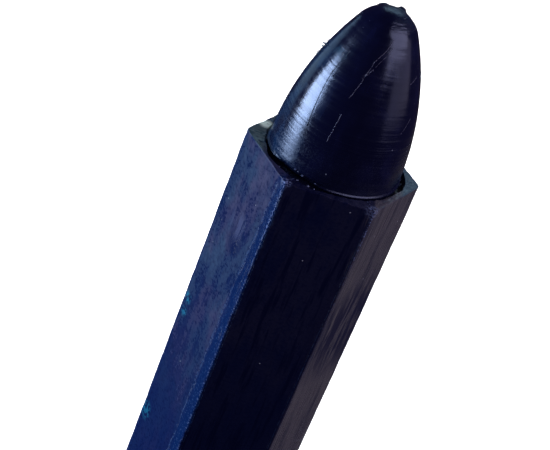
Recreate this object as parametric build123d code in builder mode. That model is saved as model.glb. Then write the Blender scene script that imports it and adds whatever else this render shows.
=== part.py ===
from build123d import *

import os

# A hexagonal marking crayon, standing on its rear end.
#
# A round wax core with a bullet nose is a push fit in a hexagonal barrel, and a plug closes
# the barrel behind it. As the nose wears down, the core is drawn forward along the bore.
#
# Frame: +Z along the crayon towards the nose, origin at the centre of the rear face,
# corners of the hexagon on +X and -X. Millimetres.

# Barrel
across_flats = 12.0  # over two opposite flats
barrel_length = 107.2
flat_wall = 0.75  # thinnest wall, between the bore and the middle of a flat
long_edge_radius = 0.15  # rounding of the six long edges
rear_chamfer = 0.3  # around the hexagon's rear edge
mouth_wall = 0.25  # rim left at the middle of a flat where the mouth is relieved
mouth_depth = 0.9  # depth of the relieved mouth, an open ring around the nose

# Core
core_clearance = 0.05  # radial, all along the bore
nose_length = 12.8  # from the barrel's front face to the tip
nose_tip_radius = 2.6
bead_radius = 0.1  # moulding bead around the foot of the nose
butt_chamfer = 0.5  # at the core's rear end

# Rear plug
plug_length = 6.0
plug_recess = 0.5  # how far it sits inside the rear face
plug_chamfer = 0.4  # lead-in at its inner end
dish_radius = 20.0  # of the sphere that dishes its outer face
dish_depth = 0.3

# Worked out from the sizes above
bore_radius = across_flats / 2 - flat_wall
mouth_radius = across_flats / 2 - mouth_wall
core_radius = bore_radius - core_clearance
plug_top = plug_recess + plug_length
tip_height = barrel_length + nose_length

# The nose in section is two arcs: the flank leaves the rod along +Z, and the tip carries on
# from it. The flank's radius is the one that lets both share a tangent where they meet.
tip_rise = nose_length - nose_tip_radius
flank_radius = (core_radius**2 - nose_tip_radius**2 + tip_rise**2) / (
    2 * (core_radius - nose_tip_radius)
)
foot = Vector(core_radius, barrel_length)
tip_centre = Vector(0, barrel_length + tip_rise)
flank_centre = Vector(core_radius - flank_radius, barrel_length)
blend = flank_centre + (tip_centre - flank_centre).normalized() * flank_radius

# The barrel: a hexagonal bar, bored through, with a wider, shallow mouth at the front
with BuildPart() as hex_barrel:
    with BuildSketch():
        RegularPolygon(across_flats / 2, side_count=6, major_radius=False)
    extrude(amount=barrel_length)
    rear_face = hex_barrel.faces().sort_by(Axis.Z)[0]
    chamfer(rear_face.edges(), length=rear_chamfer)
    level_edges = hex_barrel.edges().filter_by(Plane.XY)
    fillet(hex_barrel.edges() - level_edges, radius=long_edge_radius)
    with Locations((0, 0, barrel_length)):
        CounterBoreHole(
            radius=bore_radius,
            counter_bore_radius=mouth_radius,
            counter_bore_depth=mouth_depth,
        )

# The wax core: a round rod with a bullet nose and a fine bead around the nose's foot
with BuildPart() as wax_core:
    with BuildSketch(Plane.XZ):
        with BuildLine():
            Polyline((0, tip_height), (0, plug_top), (core_radius, plug_top), foot)
            flank = TangentArc(foot, blend, tangent=(0, 1))
            TangentArc(blend, (0, tip_height), tangent=flank % 1)
        make_face()
        with Locations(foot):
            Circle(bead_radius)
    revolve(axis=Axis.Z)
    butt_face = wax_core.faces().sort_by(Axis.Z)[0]
    chamfer(butt_face.edges(), length=butt_chamfer)

# The rear plug: a press fit in the bore, with a dished outer face
with BuildPart() as rear_plug:
    with BuildSketch(Plane.XY.offset(plug_recess)):
        Circle(bore_radius)
    extrude(amount=plug_length)
    inner_face = rear_plug.faces().sort_by(Axis.Z)[-1]
    chamfer(inner_face.edges(), length=plug_chamfer)
    with Locations((0, 0, plug_recess + dish_depth - dish_radius)):
        Sphere(dish_radius, mode=Mode.SUBTRACT)

hex_barrel.part.label = "hex_barrel"
wax_core.part.label = "wax_core"
rear_plug.part.label = "rear_plug"

os.makedirs("parts", exist_ok=True)
export_step(hex_barrel.part, "parts/hex_barrel.step")
export_step(wax_core.part, "parts/wax_core.step")
export_step(rear_plug.part, "parts/rear_plug.step")
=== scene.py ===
# %% [markdown]
# # A worn hexagonal marking crayon
#
# The crayon is three pieces of dark-blue wax: a hexagonal barrel, a round core that slides
# in its bore and ends in a bullet nose, and a plug at the rear. The CAD frame has their
# sizes. This file gives them the look of a used crayon: rubbed edges, a nicked mouth, a
# crumbled tip, rings and scratches on the nose, and crumbs in the gap around it.
#
# The frame comes first, because every size below is read from it. It is in metres.

import math

import bmesh
import bpy
import numpy as np
from mathutils import Matrix, Vector, noise


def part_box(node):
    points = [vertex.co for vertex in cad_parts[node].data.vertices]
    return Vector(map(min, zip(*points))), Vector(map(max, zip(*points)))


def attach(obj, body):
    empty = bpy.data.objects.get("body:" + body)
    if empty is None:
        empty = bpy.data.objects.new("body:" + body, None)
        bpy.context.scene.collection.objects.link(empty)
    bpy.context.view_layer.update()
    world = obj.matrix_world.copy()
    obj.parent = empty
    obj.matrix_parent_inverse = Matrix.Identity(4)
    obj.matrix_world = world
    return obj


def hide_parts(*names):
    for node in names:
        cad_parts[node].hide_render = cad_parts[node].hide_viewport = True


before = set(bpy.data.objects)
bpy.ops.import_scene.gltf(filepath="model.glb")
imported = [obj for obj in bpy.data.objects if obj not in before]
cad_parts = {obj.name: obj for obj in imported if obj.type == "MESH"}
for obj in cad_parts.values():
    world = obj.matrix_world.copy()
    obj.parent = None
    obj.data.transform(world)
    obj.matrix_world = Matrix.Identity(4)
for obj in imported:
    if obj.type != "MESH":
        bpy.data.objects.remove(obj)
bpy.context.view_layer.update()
MM = 0.001
print("nodes:", ", ".join(sorted(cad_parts)))

# %% Sizes that the pieces share, read from the CAD boxes
barrel_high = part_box("hex_barrel")[1]
core_low, core_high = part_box("wax_core")
plug_low, plug_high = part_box("rear_plug")

apothem = barrel_high.y  # from the axis to the middle of a flat
front = barrel_high.z  # height of the barrel's front face
tip = core_high.z
bore = plug_high.x  # the plug fills the bore
core_clearance, mouth_wall, mouth_depth = 0.05 * MM, 0.25 * MM, 0.9 * MM
rod = bore - core_clearance
mouth = apothem - mouth_wall
mouth_floor = front - mouth_depth
nose = tip - front
print(f"flats {2000 * apothem:.1f} mm, front {1000 * front:.1f} mm, nose {1000 * nose:.1f} mm")

# %% [markdown]
# ## The view
#
# The camera looks down at the nose from just left of the middle of a flat, and it is rolled,
# so that the crayon leans. It is placed from the middle of the nose's foot: so far to the
# side, so far below the middle of the frame, and so far away. That keeps the framing if the
# crayon's length changes. The lens is long, so the hexagon narrows only a little downwards.

# %% Camera
azimuth, elevation, roll = (math.radians(angle) for angle in (7.055, 31.16, 22.02))
ahead = Vector(
    (
        math.sin(azimuth) * math.cos(elevation),
        math.cos(azimuth) * math.cos(elevation),
        -math.sin(elevation),
    )
)
level = Vector((math.cos(azimuth), -math.sin(azimuth), 0))
upright = level.cross(ahead)
side = math.cos(roll) * level + math.sin(roll) * upright
over = math.cos(roll) * upright - math.sin(roll) * level

nose_foot = Vector((0, 0, front))
camera = bpy.data.objects.new("camera", bpy.data.cameras.new("camera"))
camera.data.sensor_width = 36
camera.data.lens = 100.8
camera.data.clip_start = 1 * MM
to_left, below, back = 4.43 * MM, 5.10 * MM, 115.47 * MM
eye = nose_foot - to_left * side - below * over - back * ahead
camera.matrix_world = Matrix(
    [(side[i], over[i], -ahead[i], eye[i]) for i in range(3)] + [(0, 0, 0, 1)]
)
bpy.context.scene.collection.objects.link(camera)
bpy.context.scene.camera = camera
print("camera at", [round(1000 * value, 1) for value in eye], "mm")

# %% [markdown]
# ## The stage
#
# Dark, shiny wax is shown by what it reflects, so each lamp here is a shape to be mirrored.
# A bright round box on the left draws the long shine down the nose and lights the left flat;
# a smaller one under it carries the shine to the nose's foot, and a dim card behind it edges
# the nose. On the right a broad high box and a dim lower one draw the soft, fainter shine,
# and a low card gives the right flat a little light. A box behind lights faces that look up.
# The flat between the two sides mirrors nothing, and stays almost black. One lamp lights the
# back without shining in it. Bare white light from all around would have been simpler, but
# it greys dark wax on every side.
#
# The floor is washed white by a lamp of its own, and sends no light back to the crayon.

# %% Floor, and a lamp for the floor alone
def plane_object(name, half):
    """A square sheet on z = 0, with its middle at the origin."""
    mesh = bpy.data.meshes.new(name)
    corners = [(-half, -half, 0), (half, -half, 0), (half, half, 0), (-half, half, 0)]
    mesh.from_pydata(corners, [], [(0, 1, 2, 3)])
    made = bpy.data.objects.new(name, mesh)
    bpy.context.scene.collection.objects.link(made)
    return made


floor = plane_object("floor", half=4)
floor.visible_diffuse = False
floor.visible_glossy = False
paint = bpy.data.materials.new("pale_floor")
paint.use_nodes = True
coat = paint.node_tree.nodes["Principled BSDF"]
coat.inputs["Base Color"].default_value = (0.9, 0.9, 0.9, 1)
coat.inputs["Roughness"].default_value = 1
floor.data.materials.append(paint)

floor_only = bpy.data.collections.new("floor_only")
floor_only.objects.link(floor)
wash = bpy.data.objects.new("floor_wash", bpy.data.lights.new("floor_wash", "SUN"))
wash.data.energy = 4.5
wash.data.angle = math.radians(35)
wash.rotation_euler = (math.radians(-18), math.radians(-14), 0)
wash.light_linking.receiver_collection = floor_only
bpy.context.scene.collection.objects.link(wash)
print(f"floor {2 * floor.data.vertices[2].co.x:.0f} m across, with its own lamp")

# %% Soft boxes, by direction and brightness
def soft_box(
    name, bearing, lift, wide, tall, brightness, colour, away=260, shape="RECTANGLE", mirrored=True
):
    """A rectangular or round lamp that faces the nose's foot from so many mm away.

    Its bearing is 0 at the viewer's side and 90 on the right, and its lift is above level,
    in degrees. It covers so many degrees each way as seen from the nose's foot. Brightness
    is what a mirror would show of it. A lamp that isn't mirrored lights the wax and doesn't
    shine in it.
    """
    width, height = (2 * away * math.tan(math.radians(angle) / 2) for angle in (wide, tall))
    turn, climb = math.radians(bearing), math.radians(lift)
    direction = Vector(
        (math.sin(turn) * math.cos(climb), -math.cos(turn) * math.cos(climb), math.sin(climb))
    )
    lamp = bpy.data.objects.new(name, bpy.data.lights.new(name, "AREA"))
    lamp.data.shape = shape
    lamp.data.size, lamp.data.size_y = width * MM, height * MM
    lamp.data.energy = brightness * math.pi * width * MM * height * MM
    lamp.data.color = colour
    lamp.location = nose_foot + away * MM * direction
    lamp.rotation_mode = "QUATERNION"
    lamp.rotation_quaternion = direction.to_track_quat("Z", "Y")
    lamp.visible_camera = False
    lamp.visible_glossy = mirrored
    bpy.context.scene.collection.objects.link(lamp)


soft_box("left_round_box", -89, -4, 32, 25, 19.5, (0.66, 0.79, 1.0), shape="ELLIPSE")
soft_box("left_low_box", -85, -28, 20, 16, 7.5, (0.66, 0.80, 1.0))
soft_box("left_back_card", -134, -5, 26, 22, 1.0, (0.42, 0.70, 1.0))
soft_box("right_high_box", 58, 42, 54, 40, 3.4, (0.90, 0.78, 1.0))
soft_box("right_box", 76, 12, 44, 28, 0.8, (0.94, 0.80, 1.0))
soft_box("back_box", 173, 36, 26, 18, 2.6, (0.50, 0.80, 1.0))
soft_box("right_low_card", 131, -34, 40, 28, 0.07, (1.0, 0.90, 0.82), away=150)
soft_box("back_fill", 150, 14, 70, 50, 4.0, (1.0, 0.96, 0.92), mirrored=False)

# %% A dim room that looks pale to the camera
world = bpy.data.worlds.new("pale_room")
bpy.context.scene.world = world
bpy.context.scene.view_settings.view_transform = "Standard"
world.use_nodes = True
nodes, links = world.node_tree.nodes, world.node_tree.links
background = nodes["Background"]
background.inputs["Strength"].default_value = 1
seen = nodes.new("ShaderNodeLightPath")
shade = nodes.new("ShaderNodeMix")
shade.data_type = "RGBA"
shade.inputs[6].default_value = (0.018, 0.013, 0.020, 1)  # what lights the wax: a dim room
shade.inputs[7].default_value = (1.05, 1.07, 1.10, 1)  # what the camera sees behind it
links.new(seen.outputs["Is Camera Ray"], shade.inputs[0])
links.new(shade.outputs[2], background.inputs["Color"])
print(f"{world.name}: {len(nodes)} nodes")

# %% [markdown]
# ## Skins
#
# Every worn piece here is a skin: rows of points, each row once round the piece. A grid of
# points is easy to displace with arrays, stays made of quads, and closes by itself.

# %% From rows of points to a mesh
def skin(name, rows, joined=False, capped=False):
    """Quads between rows of points.

    Joined ties the last row to the first, and capped closes both ends with a fan.
    """
    rows = np.asarray(rows, float)
    count, across = rows.shape[:2]
    points = rows.reshape(-1, 3)
    here = np.arange(count * across).reshape(count, across)
    above = np.roll(here, -1, axis=0)
    if not joined:
        here, above = here[:-1], above[:-1]
    beside, diagonal = np.roll(here, -1, axis=1), np.roll(above, -1, axis=1)
    faces = np.stack([here, beside, diagonal, above], axis=-1).reshape(-1, 4).tolist()
    points = points.tolist()
    if capped:
        ends = np.arange(count * across).reshape(count, across)[[0, -1]]
        for ring, flip in zip(ends, (True, False)):
            middle = len(points)
            points.append(np.mean([points[i] for i in ring], axis=0).tolist())
            pairs = zip(ring.tolist(), np.roll(ring, -1).tolist())
            faces += [(b, a, middle) if flip else (a, b, middle) for a, b in pairs]
    mesh = bpy.data.meshes.new(name)
    mesh.from_pydata(points, [], faces)
    mesh.polygons.foreach_set("use_smooth", [True] * len(mesh.polygons))
    mesh.validate()
    made = bpy.data.objects.new(name, mesh)
    bpy.context.scene.collection.objects.link(made)
    print(f"{name}: {len(mesh.vertices)} points, {len(mesh.polygons)} faces")
    return made


def note(piece, name, values):
    """Stores one number for each point of a piece, for its material to read."""
    values = np.asarray(values, float).reshape(-1)
    missing = len(piece.data.vertices) - len(values)
    values = np.concatenate([values, np.full(missing, values[-1])])
    layer = piece.data.attributes.new(name, "FLOAT", "POINT")
    layer.data.foreach_set("value", values.astype(np.float32))


# %% Noise and soft steps on arrays
def lumps(points, size, octaves=3, seed=0):
    """Noise from about -1 to 1 at each point, its lumps one size, or one size for each axis."""
    seed_step = 37.1  # moves to another part of the noise
    scaled = points / np.asarray(size, float) + seed_step * seed
    flat = [noise.fractal(p, 1.0, 2.0, octaves) for p in map(Vector, scaled.reshape(-1, 3))]
    return np.array(flat).reshape(points.shape[:-1])


def ease(low, high, value):
    """0 below low, 1 above high, and a smooth rise between; it falls if low is the greater."""
    share = np.clip((value - low) / (high - low), 0, 1)
    return share * share * (3 - 2 * share)


print(f"a soft step is {ease(0, 4, 1):.3f} up after a quarter of its way")

# %% [markdown]
# ## The barrel
#
# The real barrel is an extruded hexagon with a bore. Its long edges have rubbed a little
# round in use, one of them in a much wider band than the others, and the thin rim of the
# mouth is nicked. The skin follows the outline in fine steps at the corners and near the
# mouth, where the wear is, and in long steps elsewhere. A bevel modifier would round all
# edges alike, and arrays let each edge wear in its own way. Wear only takes wax away, so
# points only move inwards, but some of that wax is packed in the mouth and narrows it.

# %% Outline: one column of points for each step round the hexagon
edge_rounding = [0.20, 0.28, 0.32, 0.25, 0.22, 0.20]  # mm, at 0, 60, ... 300 degrees
rub_before = [0.4, 0.5, 0.5, 0.5, 0.4, 0.4]  # mm, the rubbed band at each flat's first edge
rub_after = [0.5, 0.6, 0.5, 2.1, 0.4, 0.4]  # and at its second; the fourth flat's is widest
bevel_slope = 0.012  # how far the rubbed band leans back, as a share of its width
flat_steps, corner_steps = 34, 6
crowding = 0.35  # how much closer the steps across a flat stand at its edges


def hexagon_columns():
    """Points on the outline, their outward normals, and how far each is from its corner.

    Then how rubbed a point is by the edge it is near, from 0 to 1, and how much that took off.
    """
    half_flat = apothem / math.sqrt(3)
    spots, outwards, gaps, rubs, bevels = [], [], [], [], []
    for number in range(6):
        facing = math.radians(30 + 60 * number)
        normal = np.array([math.cos(facing), math.sin(facing)])
        along = np.array([-normal[1], normal[0]])
        start = -half_flat + edge_rounding[number] * MM * math.tan(math.pi / 6)
        radius = edge_rounding[(number + 1) % 6] * MM
        end = half_flat - radius * math.tan(math.pi / 6)
        for step in np.linspace(-1, 1, flat_steps):
            share = 0.5 + 0.5 * ((1 + crowding) * step - crowding * step**3)
            place = start + share * (end - start)
            spots.append(apothem * normal + place * along)
            outwards.append(normal)
            gaps.append(half_flat - abs(place))
            wide = (rub_after if place > 0 else rub_before)[number] * MM
            rubs.append(max(0, 1 - gaps[-1] / wide))
            bevels.append(bevel_slope * wide * rubs[-1])
        centre = (apothem - radius) * normal + end * along
        for step in range(1, corner_steps):
            turned = facing + math.pi / 3 * step / corner_steps
            outward = np.array([math.cos(turned), math.sin(turned)])
            spots.append(centre + radius * outward)
            outwards.append(outward)
            gaps.append(0)
            rubs.append(1)
            share = step / corner_steps
            wide = (1 - share) * rub_after[number] + share * rub_before[(number + 1) % 6]
            bevels.append(bevel_slope * wide * MM)
    return [np.array(values) for values in (spots, outwards, gaps, rubs, bevels)]


outline, outward, corner_gap, edge_rub, bevel = hexagon_columns()
bearing = np.arctan2(outline[:, 1], outline[:, 0])
print(f"{len(outline)} columns round the barrel")

# %% Kinds of row, and how far wax is packed in the mouth at each bearing
def ring(radius, height):
    """A round row."""
    level = np.full(len(bearing), height)
    return np.column_stack([radius * np.cos(bearing), radius * np.sin(bearing), level])


def hexagon(inset, height):
    """A hexagonal row, that far inside the outline."""
    return np.column_stack([outline - inset * outward, np.full(len(outline), height)])


def between(first, last, shares):
    """Rows from one row to another."""
    return [first + share * (last - first) for share in shares]


degrees = np.degrees(bearing) % 360
packed_right = ease(256, 272, degrees) * ease(346, 334, degrees)
packed_left = 1.15 * ease(146, 162, degrees) * ease(210, 195, degrees)
packed_back = 0.5 * ease(8, 40, degrees) * ease(146, 120, degrees)
ragged = lumps(ring(mouth, front), 0.5 * MM, 3, seed=12)
pack_depth, ragged_depth = 0.28, 0.05  # mm
packed = pack_depth * (packed_right + packed_left + packed_back) + ragged_depth * (1 + ragged)
mouth_line = mouth - packed * MM
print(f"mouth from {2000 * mouth_line.min():.2f} to {2000 * mouth_line.max():.2f} mm across")

# %% Rows: up the bore, over the rear face, up the flats, over the rim, into the mouth
rear_chamfer, rim_round, lip_round = 0.3 * MM, 0.05 * MM, 0.04 * MM
rear_end, worked, handled_top = 3 * MM, front - 30 * MM, front - 4 * MM
flank = np.concatenate(
    [
        np.linspace(rear_chamfer, rear_end, 12)[:-1],
        np.linspace(rear_end, worked, 60)[:-1],
        np.linspace(worked, handled_top, 110)[:-1],
        np.linspace(handled_top, front - rim_round, 70),
    ]
)
rows = [ring(bore, height) for height in np.linspace(mouth_floor, 0, 6)]
rows += between(ring(bore, 0), hexagon(rear_chamfer, 0), (0.05, 0.3, 0.6, 0.9, 1))
rows += [hexagon(0, height) for height in flank]
rows += [hexagon(0.3 * rim_round, front - 0.3 * rim_round)]
lip = ring(mouth_line + lip_round, front)
rows += between(hexagon(rim_round, front), lip, np.linspace(0, 1, 16))
rows += [ring(mouth_line, height) for height in np.linspace(front - lip_round, mouth_floor, 14)]
rows += between(ring(bore, mouth_floor), ring(mouth_line, mouth_floor), (0.8, 0.6, 0.4, 0.2))
barrel_points = np.array(rows)
print(f"{len(rows)} rows along the barrel")

# %% Wear on the barrel
def wear_barrel(points):
    """The points after wear, and how rubbed each of them is, from 0 to 1. Depths are in mm."""
    height = points[..., 2]
    sides = np.concatenate([outward, np.zeros((len(outward), 1))], axis=1)
    from_axis = np.linalg.norm(points[..., :2], axis=-1)
    outside = (from_axis > mouth_line + 0.03 * MM) & (height > 0.2 * MM)
    near_corner = ease(0.75 * MM, 0.1 * MM, corner_gap)
    near_rim = ease(front - 1.1 * MM, front, height)

    uneven = 0.5 + 0.5 * lumps(points, (4 * MM, 4 * MM, 14 * MM), 2, seed=1)
    drag = 0.5 + 0.5 * lumps(points, (0.35 * MM, 0.35 * MM, 5 * MM), 2, seed=2)
    nibble = np.clip(0.4 + 0.6 * lumps(points, (0.5 * MM, 0.5 * MM, 2.2 * MM), 3, seed=3), 0, 1)
    nicked = 0.01 + (0.05 + 0.10 * near_rim) * nibble**2
    depth = 0.022 * uneven + 0.008 * drag + near_corner * nicked
    worn = points - ((depth * MM + bevel) * outside)[..., None] * sides

    rim = ring(apothem, front)
    chips = np.clip(lumps(rim, 0.9 * MM, 3, seed=4) - 0.05, 0, 1)
    fine = np.clip(lumps(rim, 0.22 * MM, 2, seed=5), 0, 1)
    drop = (0.09 * chips + 0.06 * fine + 0.01) * near_rim
    pitted = 0.05 * lumps(points, 0.25 * MM, 3, seed=6) * ease(front - 0.3 * MM, front, height)
    worn[..., 2] -= np.clip(drop + pitted, 0, 1) * MM * (height > mouth_floor + 0.01 * MM)
    at_rim = ease(front - 0.35 * MM, front - 0.05 * MM, height)
    rubbed = np.maximum(edge_rub * np.ones_like(height), at_rim * np.minimum(0.35 + chips, 0.8))
    return worn, np.clip(rubbed * (outside | (height > mouth_floor)), 0, 1)


worn_points, rubbed = wear_barrel(barrel_points)
barrel = skin("barrel_worn", worn_points, joined=True)
note(barrel, "rubbed", rubbed)

# %% [markdown]
# ## The core
#
# The core is turned: a round rod with a small bead at the nose's foot, a flank that is one
# arc and a tip that is another. Its skin is a ring of points at each height, which a Screw
# modifier could make too, but not with the wear. Turning leaves shallow rings, use has
# crumbled the very tip and left two small burrs on it, and the foot is chipped on one side.
# Those show in the outline, so they are shapes here and not only a finish.

# %% Profile of the core: radius at each height
tip_radius = 2.6 * MM
tip_rise = nose - tip_radius
flank_radius = (rod**2 - tip_radius**2 + tip_rise**2) / (2 * (rod - tip_radius))
blend_height = tip_rise * flank_radius / (flank_radius - tip_radius)
bead_reach = 0.1 * MM


def nose_radius(rise):
    """Radius of the nose at a height above its foot."""
    on_flank = np.sqrt(np.clip(flank_radius**2 - rise**2, 0, None)) - flank_radius + rod
    on_tip = np.sqrt(np.clip(tip_radius**2 - (rise - tip_rise) ** 2, 0, None))
    return np.where(rise < blend_height, on_flank, on_tip)


close_to_foot = 1.5 * MM
over_tip = np.sin(np.linspace(0, math.pi / 2, 80))
rise = np.concatenate(
    [
        np.linspace(0, close_to_foot, 34)[:-1],
        np.linspace(close_to_foot, blend_height, 130)[:-1],
        blend_height + (nose - blend_height) * over_tip[:-1],
    ]
)
butt = 0.5 * MM  # chamfer at the rear end
neck = front - 1.2 * MM  # the rod is in fine steps above it
stem = np.concatenate(
    [np.linspace(core_low.z + butt, neck, 40)[:-1], np.linspace(neck, front, 18)[:-1]]
)
heights = np.concatenate([[core_low.z], stem, front + rise])
radii = np.concatenate([[rod - butt], np.full(len(stem), rod), nose_radius(rise)])
radii += np.sqrt(np.clip(bead_reach**2 - (heights - front) ** 2, 0, None))
print(f"nose arcs: flank {1000 * flank_radius:.1f} mm, tip {1000 * tip_radius:.1f} mm")

# %% The points of the core
core_columns = 330
turns = np.linspace(0, 2 * math.pi, core_columns, endpoint=False)
core_points = np.stack(
    [
        radii[:, None] * np.cos(turns),
        radii[:, None] * np.sin(turns),
        np.repeat(heights[:, None], core_columns, axis=1),
    ],
    axis=-1,
)
print(f"{core_columns} points round the core at each of {len(heights)} heights")

# %% Wear on the core
def wear_core(points):
    """The points with rings, a chipped foot and a broken tip, and how crumbled each is.

    Depths are in mm, and a burr or chip is set by its place in mm or its bearing.
    """
    height = points[..., 2]
    radial = points.copy()
    radial[..., 2] = 0
    radial /= np.maximum(np.linalg.norm(radial, axis=-1, keepdims=True), 1e-9)
    rings = lumps(points * (0.05, 0.05, 1), 0.3 * MM, 2, seed=7)
    uneven = 0.5 + 0.5 * lumps(points, 3 * MM, 2, seed=8)
    depth = 0.004 * (rings + 1) + 0.025 * uneven
    worn = points - (depth * MM)[..., None] * radial

    def beside(x, y, reach):
        """1 at a place on the tip, in mm, and 0 beyond its reach."""
        gap = np.hypot(points[..., 0] - x * MM, points[..., 1] - y * MM)
        return ease(reach * MM, 0.15 * reach * MM, gap) * (height > front)

    crumble = lumps(points, 0.32 * MM, 4, seed=9)
    burrs = 0.16 * beside(-0.8, 1.36, 0.55) + 0.22 * beside(0.66, 1.25, 0.55)
    rough = beside(0.1, 0.2, 1.3)
    worn[..., 2] += (burrs * (1 + 0.6 * crumble) - 0.016 * rough * (1 + crumble)) * MM

    facing = np.degrees(np.arctan2(points[..., 1], points[..., 0])) % 360
    chip_bearing, chip_depth = 236, 0.32
    gone = ease(30, 12, np.abs(facing - chip_bearing))
    gone *= ease(0.42 * MM, 0.1 * MM, np.abs(height - front + 0.1 * MM))
    worn -= (chip_depth * MM * gone)[..., None] * radial

    wrinkle = lumps(points, (0.7 * MM, 0.7 * MM, 0.11 * MM), 2, seed=10)
    collar = ease(tip - 1.1 * MM, tip - 0.6 * MM, height)
    collar *= ease(tip - 0.1 * MM, tip - 0.35 * MM, height)
    collar *= ease(-0.3 * MM, 0.2 * MM, points[..., 0])
    worn -= (0.035 * MM * collar * (wrinkle + 1))[..., None] * radial
    return worn, np.clip(0.6 * rough + 0.5 * collar + 4 * burrs, 0, 1)


core_worn, crumbled = wear_core(core_points)
core = skin("core_worn", core_worn, capped=True)
note(core, "crumbled", crumbled)

# %% [markdown]
# ## The rear plug
#
# The plug is cast: a short round stopper with a dished outer face. Its edge is soft, the
# dish has a small stub in the middle where the wax was poured, and it is turned up from one
# profile, like the core.

# %% The plug's profile and skin
plug_turns = np.linspace(0, 2 * math.pi, 160, endpoint=False)
dish_radius, dish_depth = 20 * MM, 0.3 * MM
soft_edge, lead_in = 0.12 * MM, 0.4 * MM
stub_radius, stub_height = 0.7 * MM, 0.22 * MM

out = np.linspace(0.02 * MM, bore - soft_edge, 60)
dish_rim = math.sqrt(dish_radius**2 - (dish_radius - dish_depth) ** 2)
sunk = np.sqrt(dish_radius**2 - np.minimum(out, dish_rim) ** 2) - (dish_radius - dish_depth)
stub = stub_height * ease(stub_radius, 0.75 * stub_radius, out)
around = np.linspace(0, math.pi / 2, 8)
profile = [(radius, plug_low.z + depth - rise) for radius, depth, rise in zip(out, sunk, stub)]
profile += [
    (bore - soft_edge + soft_edge * math.sin(a), plug_low.z + soft_edge * (1 - math.cos(a)))
    for a in around[1:]
]
wall = np.linspace(plug_low.z + 0.5 * MM, plug_high.z - lead_in, 12)
profile += [(bore, height) for height in wall]
profile += [(bore - lead_in, plug_high.z), (0.3 * bore, plug_high.z)]
plug_points = np.array(
    [
        [(radius * math.cos(a), radius * math.sin(a), height) for a in plug_turns]
        for radius, height in profile
    ]
)
outer_face = plug_points[..., 2] < plug_low.z + 0.4 * MM
rippled = 0.02 * MM * (1 + lumps(plug_points, 1.5 * MM, 3, seed=11))
plug_points[..., 2] += rippled * outer_face
plug = skin("plug_worn", plug_points, capped=True)

# %% [markdown]
# ## Crumbs and slivers
#
# Wax crumbles where it rubs. Pale crumbs lie in the gap around the nose and on its foot, and
# a few slivers stand off the nose where something caught it. Each crumb is a small ball,
# pushed about by noise; each sliver is a thin, bent, four-sided spike.

# %% Crumbs
chance = np.random.default_rng(5)


def crumb_object(name, spots):
    """One object of many crumbs, each given by its place and size."""
    shapes = bmesh.new()
    for number, (place, size) in enumerate(spots):
        ball = bmesh.ops.create_icosphere(shapes, subdivisions=2, radius=size)
        shift = Vector((number * 3.1, 7.7, 1.3))
        for point in ball["verts"]:
            push = noise.fractal(point.co / size * 0.9 + shift, 1.0, 2.0, 3)
            point.co *= 1 + 0.55 * push
            point.co.z *= 0.7
            point.co += place
    mesh = bpy.data.meshes.new(name)
    shapes.to_mesh(mesh)
    shapes.free()
    made = bpy.data.objects.new(name, mesh)
    bpy.context.scene.collection.objects.link(made)
    print(f"{name}: {len(spots)} crumbs")
    return made


def around_axis(degrees, radius, height):
    """The point at that bearing, radius and height above the barrel's front face, in mm."""
    turn = math.radians(degrees)
    return Vector((radius * math.cos(turn), radius * math.sin(turn), height)) * MM + nose_foot


gap_spots = [
    (around_axis(224, 5.62, -0.12), 0.10 * MM),
    (around_axis(229, 5.56, -0.22), 0.07 * MM),
    (around_axis(243, 5.55, -0.10), 0.08 * MM),
    (around_axis(252, 5.50, -0.15), 0.09 * MM),
    (around_axis(257, 5.58, -0.10), 0.06 * MM),
]
for count, bearings, radii, heights, sizes in (
    (46, (0, 360), (5.42, 5.62), (-0.8, -0.2), (0.025, 0.07)),  # all round
    (34, (272, 330), (5.45, 5.66), (-0.4, -0.08), (0.03, 0.08)),  # more on the right
):
    for _ in range(count):
        spot = [chance.uniform(*limits) for limits in (bearings, radii, heights)]
        gap_spots.append((around_axis(*spot), chance.uniform(*sizes) * MM))
gap_crumbs = crumb_object("gap_crumbs", gap_spots)

foot_spots = [
    (around_axis(236, 5.17, 0.36), 0.09 * MM),
    (around_axis(239, 5.16, 0.30), 0.06 * MM),
    (around_axis(244, 5.18, 0.22), 0.08 * MM),
    (around_axis(256, 5.20, 0.14), 0.06 * MM),
    (around_axis(231, 5.17, 0.44), 0.04 * MM),
]
foot_crumbs = crumb_object("foot_crumbs", foot_spots)

# %% Slivers
def sliver_object(name, spikes):
    """Thin bent spikes: each has a bearing and height on the nose, a length, width and lean."""
    shapes = bmesh.new()
    for degrees, height, length, width, lean in spikes:
        turn = math.radians(degrees)
        outwards = Vector((math.cos(turn), math.sin(turn), 0))
        upwards = Vector((0, 0, 1))
        radius = float(nose_radius(np.array(height * MM)))
        base = outwards * (radius - 0.03 * MM) + nose_foot + upwards * height * MM
        rings = []
        for share in np.linspace(0, 1, 6):
            way = outwards * math.cos(lean * share) + upwards * math.sin(lean * share)
            middle = base + way * length * share * MM
            thin = width * MM * (1 - 0.92 * share)
            across = outwards.cross(upwards) * thin
            deep = way.cross(across).normalized() * thin * 0.4
            corners = (across + deep, across - deep, -across - deep, -across + deep)
            rings.append([shapes.verts.new(middle + corner) for corner in corners])
        for low, high in zip(rings, rings[1:]):
            for i in range(4):
                shapes.faces.new((low[i], low[(i + 1) % 4], high[(i + 1) % 4], high[i]))
        shapes.faces.new(rings[-1])
        shapes.faces.new(rings[0][::-1])
    bmesh.ops.recalc_face_normals(shapes, faces=shapes.faces)
    mesh = bpy.data.meshes.new(name)
    shapes.to_mesh(mesh)
    shapes.free()
    made = bpy.data.objects.new(name, mesh)
    bpy.context.scene.collection.objects.link(made)
    return made


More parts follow.
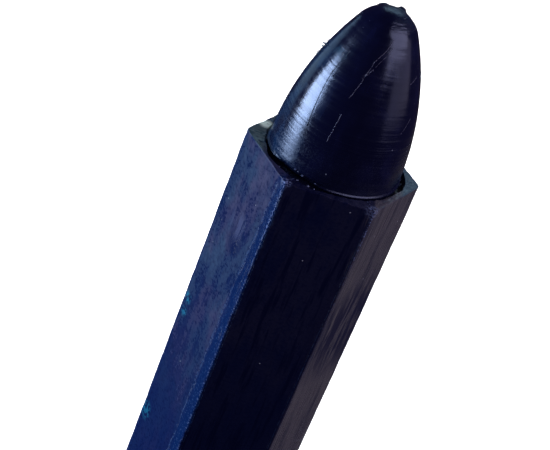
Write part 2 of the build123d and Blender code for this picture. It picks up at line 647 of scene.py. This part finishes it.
spikes = [
    (352, 8.90, 0.22, 0.05, 0.9),
    (354, 9.05, 0.20, 0.03, -0.8),
    (351, 8.70, 0.14, 0.04, 0.2),
]
tuft = ((168, 184), (7.5, 8.7), (0.25, 0.55), (0.03, 0.08), (-0.8, 1.5))
short_hairs = ((164, 192), (9.6, 11.7), (0.12, 0.34), (0.015, 0.03), (-0.6, 1.4))
for count, limits in ((16, tuft), (18, short_hairs)):
    spikes += [tuple(chance.uniform(*limit) for limit in limits) for _ in range(count)]
slivers = sliver_object("nose_slivers", spikes)
print(f"{slivers.name}: {len(spikes)} slivers")

# %% [markdown]
# ## Finishes written as arithmetic
#
# A finish is a sum of simple layers: a cloud of bloom, streaks along the barrel, rings
# around the nose. Writing them as node editors do takes a box for each plus and times. The
# first class below wraps a node's output, so that Python's own signs add those boxes, and
# the second holds one material and makes the layers. Everything is measured in mm from the
# piece itself, so a finish needs no unwrapping and stays in scale.

# %% A node's output that can be calculated with
class Tone:
    """An output socket. Signs add Math nodes, or Vector Math nodes where a vector is in play."""

    def __init__(self, finish, socket):
        self.finish, self.socket = finish, socket

    def pair(self, operation, first, second):
        both = (first, second)
        vector = any(isinstance(x, Tone) and x.socket.type == "VECTOR" for x in both)
        if vector:
            both = [(x, x, x) if isinstance(x, (int, float)) else x for x in both]
        kind = "ShaderNodeVectorMath" if vector else "ShaderNodeMath"
        return self.finish.node(kind, {"operation": operation}, dict(enumerate(both)))

    def __add__(self, other):
        return self.pair("ADD", self, other)

    def __sub__(self, other):
        return self.pair("SUBTRACT", self, other)

    def __rsub__(self, other):
        return self.pair("SUBTRACT", other, self)

    def __mul__(self, other):
        return self.pair("MULTIPLY", self, other)

    def __truediv__(self, other):
        return self.pair("DIVIDE", self, other)

    __radd__ = __add__
    __rmul__ = __mul__

    def rises(self, low, high):
        """0 below low, 1 above high, smooth between. With high under low it falls instead."""
        settings = {"interpolation_type": "SMOOTHSTEP"}
        values = {"Value": self, "From Min": low, "From Max": high}
        if high < low:
            values.update({"From Min": high, "From Max": low, "To Min": 1, "To Max": 0})
        return self.finish.node("ShaderNodeMapRange", settings, values)


# %% A material of wax that is built from layers
class Finish:
    """One material of wax, built from layers."""

    def __init__(self, name):
        self.material = bpy.data.materials.new(name)
        self.material.use_nodes = True
        self.tree = self.material.node_tree
        self.shader = self.tree.nodes["Principled BSDF"]
        self.place = self.node("ShaderNodeTexCoord", out="Object") * 1000
        self.parts = self.node("ShaderNodeSeparateXYZ", values={0: self.place})
        self.height = self.output(self.parts, "Z") - 1000 * front

    def output(self, tone, name):
        """Another output of the node that a tone came from."""
        return Tone(self, tone.socket.node.outputs[name])

    def node(self, kind, settings=None, values=None, out=0):
        """Adds a node: its type, its settings, then a number or a tone for each socket."""
        made = self.tree.nodes.new(kind)
        for name, value in (settings or {}).items():
            setattr(made, name, value)
        for name, value in (values or {}).items():
            if isinstance(value, Tone):
                self.tree.links.new(value.socket, made.inputs[name])
            else:
                made.inputs[name].default_value = value
        return Tone(self, made.outputs[out])

    def cloud(self, size, detail=3, shift=0):
        """Noise from 0 to 1 with lumps of that size in mm, or of one size for each axis."""
        x, y, z = size if isinstance(size, tuple) else (size,) * 3
        at = self.place * (1 / x, 1 / y, 1 / z) + (shift, 2.3 * shift, 4.1 * shift)
        values = {"Vector": at, "Scale": 1, "Detail": detail, "Roughness": 0.6}
        return self.node("ShaderNodeTexNoise", values=values)

    def specks(self, spacing, size, share, shift=0):
        """Dots of about that size in mm, in a share of the cells of a grid of that spacing."""
        at = self.place / spacing + (shift, shift, shift)
        cell = self.node("ShaderNodeTexVoronoi", values={"Vector": at, "Scale": 1})
        lot = self.node("ShaderNodeSeparateColor", values={0: self.output(cell, "Color")})
        chosen = lot.rises(1 - share, 1 - share + 0.01)
        return cell.rises(size / spacing, 0.5 * size / spacing) * chosen

    def near(self, place, reach):
        """1 at a place in mm, 0 beyond its reach."""
        ends = {0: self.place, 1: tuple(place)}
        gap = self.node("ShaderNodeVectorMath", {"operation": "DISTANCE"}, ends, "Value")
        return gap.rises(reach, 0.3 * reach)

    def mix(self, share, first, second):
        """A colour between two colours: 0 gives the first, 1 the second."""
        first, second = (c if isinstance(c, Tone) else (*c, 1) for c in (first, second))
        settings = {"data_type": "RGBA", "clamp_factor": True}
        return self.node("ShaderNodeMix", settings, {0: share, 6: first, 7: second}, 2)

    def wear(self, piece, colour, roughness, relief, depth, **constants):
        """Feeds the shader and gives the material to a piece. A relief of 1 is depth mm high."""
        values = {"Height": relief, "Distance": depth * MM, "Strength": 1}
        bump = self.node("ShaderNodeBump", values=values, out="Normal")
        for name, value in (("Base Color", colour), ("Roughness", roughness), ("Normal", bump)):
            self.tree.links.new(value.socket, self.shader.inputs[name])
        for name, value in constants.items():
            self.shader.inputs[name.replace("_", " ")].default_value = value
        piece.data.materials.append(self.material)
        print(f"{self.material.name}: {len(self.tree.nodes)} nodes")


# %% [markdown]
# ## Barrel finish
#
# Hard blue wax, almost black in the shade. Old wax sweats a thin bloom, mauve in some places
# and bluer in others. It is cloudy, thickest near the mouth, and gone where hands and
# pockets rub, so it is left on one side and at the back, and the rubbed band along one edge
# is a cleaner blue, broken up by specks. The left flat and the back are also painted a lighter
# blue than the rest, painted light. The flat between the two sides is nearly clean and
# painted darker, painted shade. The flat on the right is painted a streaky grey, a painted
# sheen. At the top of the rim, the two side corners are painted grey-teal, a painted
# reflection, and by the nose the left one has a near-white painted highlight. Drawing the bar
# left fine streaks along the barrel. Painting all this by hand would need the barrel
# unwrapped first. Masks worked out from the place on the barrel don't, and can be read and
# changed one at a time.

# %% Places on the barrel
def at_flat(facing, across, below):
    """A point on a flat, in mm: which way the flat faces, how far across it, how far down."""
    turn = math.radians(facing)
    out_x, out_y = math.cos(turn), math.sin(turn)
    half = 1000 * apothem
    return (half * out_x - across * out_y, half * out_y + across * out_x, 1000 * front - below)


def at_corner(degrees, below=0.0):
    """A point on a long edge, in mm: its bearing and how far down it is."""
    turn, reach = math.radians(degrees), 1000 * apothem / math.cos(math.pi / 6) - 0.3
    return (reach * math.cos(turn), reach * math.sin(turn), 1000 * front - below)


barrel_wax = Finish("barrel_wax")
x, y = (barrel_wax.output(barrel_wax.parts, axis) for axis in "XY")
from_mouth = 0 - barrel_wax.height
left_of_front, right_of_front, at_back = (-3.1, -3.6), (2.7, 3.3), (0.1, 0.5)  # mm in x, x, y
wander = 0.8 * (barrel_wax.cloud(1.2, 2, shift=15) - 0.5)
# The mask below marks the left flat and the back. Bloom is left there, and they are also painted a
# lighter blue, painted light, while the front flat is painted darker, painted shade.
bloom_and_lit_side = (x + wander).rises(*left_of_front) + y.rises(*at_back)
bloom_and_lit_side = bloom_and_lit_side.rises(0, 1)
right_side = x.rises(*right_of_front)
print(f"long edges at x = {1000 * apothem / math.sqrt(3):.2f} mm, left and right of the front flat")

# %% Clouds on the barrel
streaks = barrel_wax.cloud((0.22, 0.22, 4.0), 3, shift=3)
long_streaks = barrel_wax.cloud((0.7, 0.7, 7), 4, shift=5)
patches = barrel_wax.cloud((2.2, 2.2, 3.4), 5, shift=1)
tints = barrel_wax.cloud((2.6, 2.6, 5.0), 3, shift=13)
mottle = barrel_wax.cloud((0.30, 0.30, 0.22), 5, shift=17)
grain = barrel_wax.cloud(0.16, 2, shift=7)
rub_edge = barrel_wax.cloud((0.35, 0.35, 1.6), 3, shift=9)
print(f"{barrel_wax.material.name}: clouds laid")

# %% Where the barrel is rubbed
rubbed = barrel_wax.node("ShaderNodeAttribute", {"attribute_name": "rubbed"}, out="Fac")
rub_line = rubbed - 0.34 - 0.22 * from_mouth.rises(16, 0) + 0.34 * (rub_edge - 0.5)
rub = rub_line.rises(-0.12, 0.34)
burr = rub_line.rises(0.0, 0.03) * rub_line.rises(0.12, 0.06) * mottle.rises(0.40, 0.55)
burr = burr * from_mouth.rises(0.3, 0.9)
crest = rubbed.rises(0.86, 0.97) * grain.rises(0.50, 0.62)
crest = crest * (0.10 + 0.20 * bloom_and_lit_side + 0.7 * from_mouth.rises(7, 1))
speckle = rub * grain.rises(0.55, 0.68) * bloom_and_lit_side
print(f"{barrel_wax.material.name}: rubbed along its edges")

# %% Where bloom and haze are left
handled = barrel_wax.cloud((9, 9, 26), 2, shift=27).rises(0.42, 0.60) * from_mouth.rises(30, 44)
film = from_mouth.rises(27, 11) * 0.85 + 0.15 + 0.6 * handled
cloudy = 0.10 * streaks + 0.50 * patches + 0.20 * long_streaks + 0.30 * mottle
bloom = film * cloudy.rises(0.38, 0.68) * (1 - 0.9 * rub)
haze = from_mouth.rises(28, 0) * (0.5 * long_streaks + 0.5 * patches).rises(0.38, 0.58)
haze = haze * (1 - bloom_and_lit_side)
wiped = (0.35 * streaks + 0.8 * long_streaks).rises(0.58, 0.68) * (1 - bloom_and_lit_side)
stain = barrel_wax.cloud((0.6, 0.6, 3.6), 4, shift=21).rises(0.36, 0.54)
stain = stain * barrel_wax.near(at_flat(330, 0.8, 12.5), 6.5)
# Painted sheen: the right flat is painted a streaky grey for the grey sheen it shows, less where it
# is stained.
right_flat_sheen = x.rises(3.3, 3.5) * y.rises(0.3, 0.0) * (0.95 - 0.65 * stain)
right_flat_sheen = right_flat_sheen * (0.3 * streaks + 0.5 * long_streaks).rises(0.22, 0.46)
print(f"{barrel_wax.material.name}: bloom on one side and the back, haze on the right flat")

# %% Scuffs, crumbs, dust and specks
hollow = mottle.rises(0.34, 0.46) * barrel_wax.near(at_flat(210, 0.3, 7.9), 1.5)
nicks = streaks.rises(0.48, 0.56) * barrel_wax.near(at_flat(210, 0.0, 6.6), 1.6)
scores = barrel_wax.cloud((0.20, 0.20, 5), 3, shift=23)
bright_scores = scores.rises(0.58, 0.66) * right_side * from_mouth.rises(26, 3)
dark_scores = scores.rises(0.44, 0.36) * right_side
dust = barrel_wax.specks(0.9, 0.07, 0.14, shift=2) + barrel_wax.specks(3.1, 0.12, 0.16, shift=4)
verdigris = barrel_wax.near(at_flat(210, -2.8, 15.9), 0.7)
verdigris = verdigris + barrel_wax.near(at_flat(210, -2.6, 17.2), 0.6)
verdigris = verdigris + 0.7 * barrel_wax.near(at_flat(210, -2.9, 28), 1.2)
verdigris = verdigris * mottle.rises(0.46, 0.56)
# Painted highlight: a near-white patch on the top of the rim at the left corner, by the nose.
rim_painted_highlight = barrel_wax.near(around_axis(164, 5.74, 0) * 1000, 0.85) * mottle.rises(0.20, 0.45)
# Painted reflection: the top of the rim at the left and right corners is painted a pale grey-teal.
side_rim_reflection = from_mouth.rises(0.14, 0.04) * (x * x).rises(27, 33)
crumbly = barrel_wax.near(at_corner(240), 0.55) + 0.45 * barrel_wax.near(at_corner(300, 0.1), 0.8)
crumbly = crumbly * grain.rises(0.42, 0.58)
print(f"{barrel_wax.material.name}: scuffed and dusty")

# %% Blues, greys and other colours of the barrel, in linear light
# The second blue on the next line is painted light: the lighter blue of the left flat and the back.
clean_blue, lit_side_blue = (0.0032, 0.0056, 0.030), (0.0034, 0.0120, 0.064)
wiped_blue, rubbed_blue = (0.0014, 0.0026, 0.020), (0.0030, 0.0170, 0.078)
mauve_bloom, cyan_bloom = (0.0460, 0.0450, 0.098), (0.0240, 0.0480, 0.100)
# The second colour on the next line is a painted sheen: the grey of the right flat.
right_bloom, sheen_grey = (0.0095, 0.0105, 0.033), (0.056, 0.053, 0.072)
hollow_blue, nick_blue = (0.0020, 0.0090, 0.052), (0.050, 0.060, 0.130)
stain_blue, score_grey = (0.004, 0.005, 0.026), (0.085, 0.080, 0.085)
speckle_blue, crumb_blue = (0.045, 0.095, 0.220), (0.16, 0.21, 0.40)
# Both colours on the next line are painted light: a painted reflection on the rim's side corners
# and a painted highlight by the nose.
reflected_teal, highlight_white = (0.035, 0.065, 0.095), (0.80, 0.95, 0.90)
verdigris_blue, dust_grey = (0.012, 0.17, 0.27), (0.30, 0.32, 0.38)
print(f"clean wax is {clean_blue[2] / clean_blue[0]:.0f} times as blue as it is red")

# %% The barrel's colour, gloss and relief
bloom_blue = barrel_wax.mix(tints.rises(0.42, 0.58), cyan_bloom, mauve_bloom)
bloom_blue = barrel_wax.mix(bloom_and_lit_side, right_bloom, bloom_blue)
# Painted light and shade: the left flat and the back get the lighter blue, and the front and right
# flats get the darker one.
colour = barrel_wax.mix(bloom_and_lit_side, clean_blue, lit_side_blue)
colour = barrel_wax.mix(bloom + 0.6 * haze, colour, bloom_blue)
colour = barrel_wax.mix(0.85 * wiped, colour, wiped_blue)
colour = barrel_wax.mix(0.30 * mottle.rises(0.52, 0.38), colour, wiped_blue)
# Painted sheen: the streaky grey on the right flat.
colour = barrel_wax.mix(right_flat_sheen, colour, sheen_grey)
colour = barrel_wax.mix(rub * bloom_and_lit_side * (0.5 + patches * 0.7), colour, rubbed_blue)
colour = barrel_wax.mix(0.9 * hollow, colour, hollow_blue)
colour = barrel_wax.mix(0.9 * nicks, colour, nick_blue)
colour = barrel_wax.mix(0.7 * stain, colour, stain_blue)
colour = barrel_wax.mix(0.35 * bright_scores, colour, score_grey)
colour = barrel_wax.mix(0.45 * speckle + 0.35 * burr + 0.5 * crest, colour, speckle_blue)
colour = barrel_wax.mix(0.8 * crest, colour, crumb_blue)
colour = barrel_wax.mix(0.8 * crumbly, colour, crumb_blue)
# Painted reflection: grey-teal on the top of the rim at the side corners.
colour = barrel_wax.mix(side_rim_reflection, colour, reflected_teal)
# Painted highlight: the near-white patch on the rim by the nose.
colour = barrel_wax.mix(rim_painted_highlight, colour, highlight_white)
colour = barrel_wax.mix(0.8 * verdigris, colour, verdigris_blue)
colour = barrel_wax.mix(0.85 * dust, colour, dust_grey)

gloss = 0.16 + 0.26 * bloom * bloom_and_lit_side + 0.10 * right_side * from_mouth.rises(6, 34)
gloss = gloss + 0.08 * (streaks - 0.5) + 0.40 * stain + 0.15 * dark_scores + 0.06 * mottle
gloss = gloss - 0.05 * rub + 0.5 * crumbly
relief = 0.45 * streaks * (1 - 0.85 * rub) + 0.20 * grain + 0.6 * burr
relief = relief + 0.7 * (bright_scores - dark_scores) - 0.5 * hollow
relief = relief + 0.8 * nicks + 0.25 * rub * grain + 0.2 * mottle
relief_depth = 0.028  # mm
barrel_wax.wear(
    barrel, colour, gloss, relief, relief_depth, IOR=1.45, Specular_IOR_Level=0.12
)

# %% [markdown]
# ## Core finish
#
# The core is softer and darker, and it has been polished by its own bore: the shine is that
# of a candle. Turning rings cross the shine, and it is dappled near the foot. The nose's
# left side is painted a bluer colour, painted light where the left lamp falls, and the
# crumbled tip is duller. Scratches are lines on the unrolled nose, between points given by
# bearing and height. Each is the distance to that line, cut off at its width, because noise
# alone never makes one long clean scratch.

# %% Scratches
def unrolled(finish):
    """A place on the unrolled nose, in mm, shaken a little so that no line is straight."""
    x, y = (finish.output(finish.parts, name) for name in "XY")
    turn = finish.node("ShaderNodeMath", {"operation": "ARCTAN2"}, {0: x, 1: 0 - y})
    across = turn * (1000 * rod) + 0.30 * (finish.cloud(0.9, 3, shift=31) - 0.5)
    return across, finish.height + 0.25 * (finish.cloud(0.9, 3, shift=33) - 0.5)


def scratch(finish, sheet, route, width):
    """1 along a route of points, 0 beside it. A point is (degrees right of the front, height)."""
    across, height = sheet
    total = 0
    for start, end in zip(route, route[1:]):
        ax, bx = (math.radians(point[0]) * 1000 * rod for point in (start, end))
        rise, run = end[1] - start[1], bx - ax
        along = ((across - ax) * run + (height - start[1]) * rise) / (run**2 + rise**2)
        held = finish.node("ShaderNodeClamp", values={0: along})
        gap_x, gap_y = across - ax - held * run, height - start[1] - held * rise
        square = gap_x * gap_x + gap_y * gap_y
        gap = finish.node("ShaderNodeMath", {"operation": "SQRT"}, {0: square})
        total = gap.rises(width, 0.25 * width) + total
    return total


# %% Clouds and rings on the core
core_wax = Finish("core_wax")
rings = core_wax.cloud((30, 30, 0.20), 5, shift=2)
broad_rings = core_wax.cloud((30, 30, 1.1), 2, shift=6)
smears = core_wax.cloud((1.6, 1.6, 3.0), 4, shift=3)
grain = core_wax.cloud(0.14, 3, shift=8)
near_foot = core_wax.height.rises(8, 0.5)

print(f"{core_wax.material.name}: clouds and rings laid")

# %% Scratches and marks on the core
sheet = unrolled(core_wax)
hair_route = [(-44, 9.6), (-47.6, 8.0), (-45.6, 6.3), (-43.0, 4.8), (-38.7, 3.1)]
hair = scratch(core_wax, sheet, hair_route, 0.045)
fork_route = [(11, 11.4), (-7.0, 9.8), (-11.6, 8.45), (-16.8, 6.95)]
fork = scratch(core_wax, sheet, fork_route, 0.038)
tine = scratch(core_wax, sheet, [(13, 11.0), (-1.5, 9.75), (-9.6, 8.8)], 0.030)
short = scratch(core_wax, sheet, [(-16.7, 5.7), (-18.9, 3.5)], 0.036)
smudge = scratch(core_wax, sheet, [(-5.0, 9.3), (-12.5, 8.6)], 0.16) * grain.rises(0.5, 0.62)
scrape = scratch(core_wax, sheet, [(58, 6.2), (47, 5.2)], 0.05)
scrape = scrape + scratch(core_wax, sheet, [(64, 9), (50, 8.7)], 0.05)
pale = (fork + 0.7 * tine + short + 0.5 * smudge + 0.4 * scrape) * grain.rises(0.36, 0.56)
marks = core_wax.specks(0.8, 0.07, 0.08, shift=1) + core_wax.specks(2.3, 0.12, 0.10, shift=5)
fuzz = core_wax.specks(0.30, 0.035, 0.35, shift=9)
fuzz = fuzz * core_wax.near(around_axis(205, 2.9, 10.9) * 1000, 2.0)
patina = core_wax.near(around_axis(214, 3.6, 9.6) * 1000, 1.3) * smears.rises(0.38, 0.58)
leftwards = 0 - core_wax.output(core_wax.parts, "X")
# Painted light: the nose's left side, where the left lamp falls, is painted a bluer colour in
# cloudy patches.
left_painted_light = leftwards.rises(2.0, 4.2) * smears.rises(0.36, 0.60)
crumbled = core_wax.node("ShaderNodeAttribute", {"attribute_name": "crumbled"}, out="Fac")
print(f"{core_wax.material.name}: scratches drawn")

# %% The core's colour, gloss and relief
core_blue, smear_blue = (0.0024, 0.0030, 0.017), (0.0042, 0.0052, 0.028)
# The first colour on the next line is painted light: the bluer left side of the nose.
left_light_blue, patina_blue = (0.0040, 0.0190, 0.056), (0.012, 0.060, 0.105)
crumbled_blue, scratch_grey = (0.0045, 0.013, 0.036), (0.20, 0.20, 0.27)
mark_grey, hair_black = (0.22, 0.25, 0.33), (0.001, 0.001, 0.004)
colour = core_wax.mix(smears.rises(0.42, 0.75), core_blue, smear_blue)
# Painted light: the bluer left side of the nose.
colour = core_wax.mix(0.8 * left_painted_light, colour, left_light_blue)
colour = core_wax.mix(0.6 * patina, colour, patina_blue)
colour = core_wax.mix(crumbled * grain.rises(0.50, 0.70), colour, crumbled_blue)
colour = core_wax.mix(0.6 * pale, colour, scratch_grey)
colour = core_wax.mix(0.7 * marks + 0.3 * fuzz, colour, mark_grey)
colour = core_wax.mix(0.7 * hair, colour, hair_black)

gloss = 0.19 + 0.08 * (smears - 0.5) + 0.34 * (rings - 0.5) + 0.6 * hair + 0.25 * crumbled
gloss = gloss + core_wax.height.rises(5.0, 1.5) * (0.06 + 0.8 * (grain - 0.5))
relief = (0.5 + 0.9 * near_foot) * rings + 0.6 * broad_rings + 0.4 * pale - 0.8 * hair
relief = relief + (0.16 + 0.34 * near_foot * smears.rises(0.40, 0.60)) * grain
relief = relief + 3.0 * crumbled * grain
blue_sheen = (0.62, 0.74, 1, 1)
core_wax.wear(core, colour, gloss, relief, depth=0.022, IOR=1.47, Specular_Tint=blue_sheen)

# %% [markdown]
# ## Plug, crumbs and slivers
#
# The plug is the barrel's wax, without the rub, but with the pores of a casting. Crumbs and
# slivers are the same wax again, but thin and full of air, so crumbs look pale and slivers
# a brighter blue. A plain colour would do at this size, but a cloud in it keeps two crumbs
# from looking alike.

# %% Plug
plug_wax = Finish("plug_wax")
cast = plug_wax.cloud(1.4, 4, shift=2)
pores = plug_wax.specks(0.7, 0.12, 0.3, shift=3)
grain = plug_wax.cloud(0.12, 3, shift=4)
colour = plug_wax.mix(cast.rises(0.4, 0.75), clean_blue, right_bloom)
relief = 0.6 * cast + 0.3 * grain - 0.8 * pores
gloss = 0.42 + 0.15 * cast
plug_wax.wear(plug, colour, gloss, relief, depth=0.04, IOR=1.45, Specular_IOR_Level=0.4)

# %% Crumbs and slivers
crumb_dark, crumb_pale, sliver_pale = (0.010, 0.035, 0.14), (0.20, 0.24, 0.36), (0.03, 0.10, 0.16)
for piece, pale_wax in (
    (gap_crumbs, crumb_pale),
    (foot_crumbs, crumb_pale),
    (slivers, sliver_pale),
):
    crumb_wax = Finish(piece.name + "_wax")
    tint = crumb_wax.cloud(0.25, 3, shift=3)
    colour = crumb_wax.mix(tint.rises(0.3, 0.7), crumb_dark, pale_wax)
    crumb_wax.wear(piece, colour, 0.35 + 0.3 * tint, tint, depth=0.02, IOR=1.45)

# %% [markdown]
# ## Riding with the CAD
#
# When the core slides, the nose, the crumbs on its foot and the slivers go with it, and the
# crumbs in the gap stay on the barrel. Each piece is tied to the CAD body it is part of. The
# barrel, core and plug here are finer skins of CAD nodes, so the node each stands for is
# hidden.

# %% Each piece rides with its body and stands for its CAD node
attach(barrel, "barrel")
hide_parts("hex_barrel")
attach(core, "core")
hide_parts("wax_core")
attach(plug, "barrel")
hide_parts("rear_plug")
for piece, body, slot in (
    (gap_crumbs, "barrel", "barrel_wax"),
    (foot_crumbs, "core", "core_wax"),
    (slivers, "core", "core_wax"),
):
    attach(piece, body)
    print(f"{piece.name} rides with the {body}")
